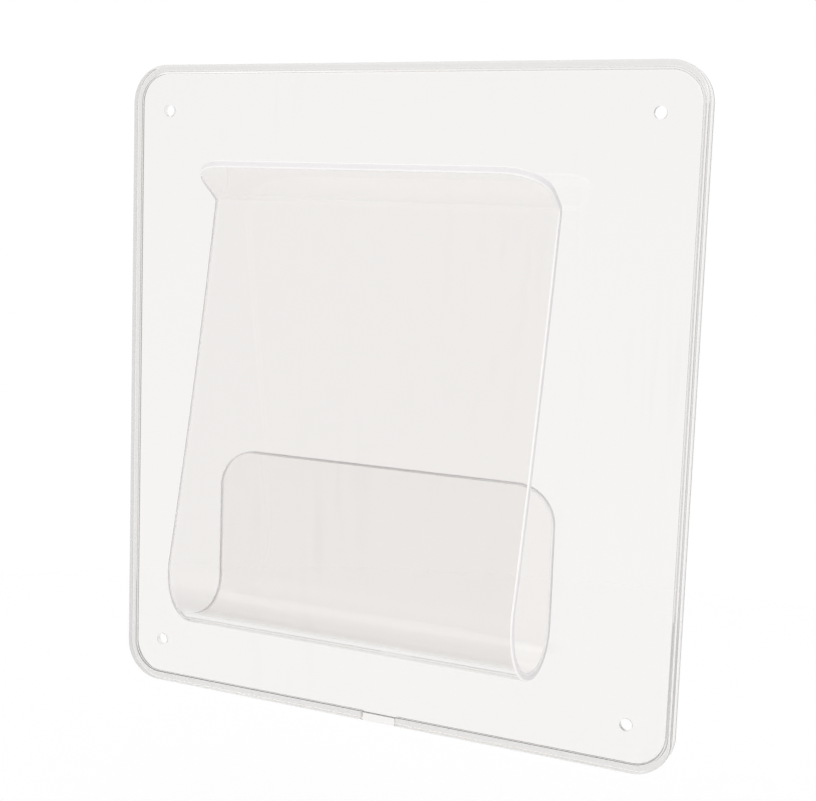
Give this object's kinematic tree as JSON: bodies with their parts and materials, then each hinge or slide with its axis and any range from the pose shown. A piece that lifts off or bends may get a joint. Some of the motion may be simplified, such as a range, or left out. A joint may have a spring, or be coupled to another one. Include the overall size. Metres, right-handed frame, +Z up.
{
  "type": "wall chart holder",
  "caption": "Clear wall chart holder: a shallow rimmed back plate with corner screw holes and a bent front strap whose pocket holds charts upright.",
  "frame": {"origin": "middle of the back plate, in the plane of the wall that its rim rests on", "axes": "+Z up, +X to the right as seen from the room, +Y into the wall, so the strap stands out towards -Y"},
  "size_m": [0.251, 0.0498, 0.2704],
  "materials": {
    "clear_plate": "clear, high gloss, moulded",
    "clear_strap": "clear, high gloss, bent sheet with satin sawn edges"
  },
  "bodies": {
    "root": {"back_plate": "clear_plate", "front_strap": "clear_strap"}
  },
  "joints": []
}
